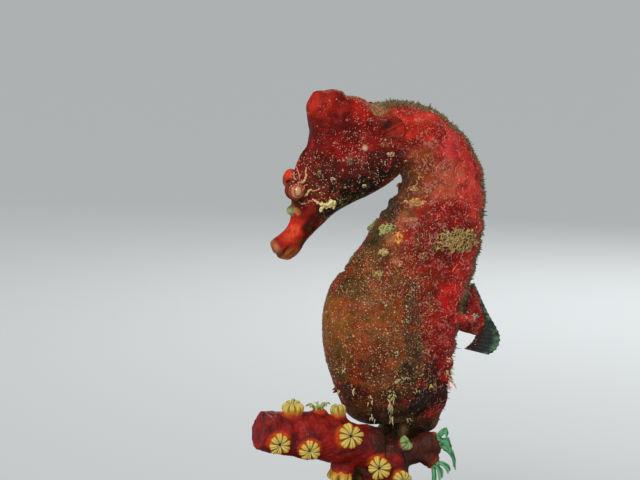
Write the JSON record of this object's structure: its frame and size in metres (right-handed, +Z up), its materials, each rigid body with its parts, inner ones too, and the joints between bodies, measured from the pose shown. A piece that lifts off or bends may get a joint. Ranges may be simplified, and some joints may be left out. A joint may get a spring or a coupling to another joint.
{
  "type": "seahorse",
  "caption": "Male seahorse with a full brood pouch and a bent neck, its tail coiled round a short sprig of polyp-studded coral, held upright by a rod on a flat rectangular base.",
  "frame": {"origin": "centre of the underside of the stand's base", "axes": "+Z up; the animal faces -X, and its left side faces -Y"},
  "size_m": [0.084, 0.058, 0.1068],
  "materials": {
    "head": "damp skin",
    "coronet": "damp skin",
    "snout": "damp skin",
    "eye": "wet and glossy",
    "trunk": "damp skin",
    "pouch": "damp skin",
    "tail": "damp skin",
    "fin": "thin and slightly clear",
    "coral": "fine-grained rind",
    "wood": "dark satin",
    "steel": "brushed"
  },
  "bodies": {
    "root": {"head": "head", "coronet": "coronet", "snout": "snout", "lower_jaw": "snout", "eye_left": "eye", "eye_right": "eye", "neck": "trunk", "trunk_upper": "trunk", "trunk_lower": "trunk", "brood_pouch": "pouch", "dorsal_fin": "fin", "pectoral_fin_left": "fin", "pectoral_fin_right": "fin", "anal_fin": "fin", "tail_1": "tail", "tail_2": "tail", "tail_3": "tail", "tail_4": "tail", "tail_5": "tail", "tail_6": "tail", "perch_stem": "coral", "perch_arm": "coral", "perch_stub": "coral", "stand_base": "wood", "stand_rod": "steel"}
  },
  "joints": []
}
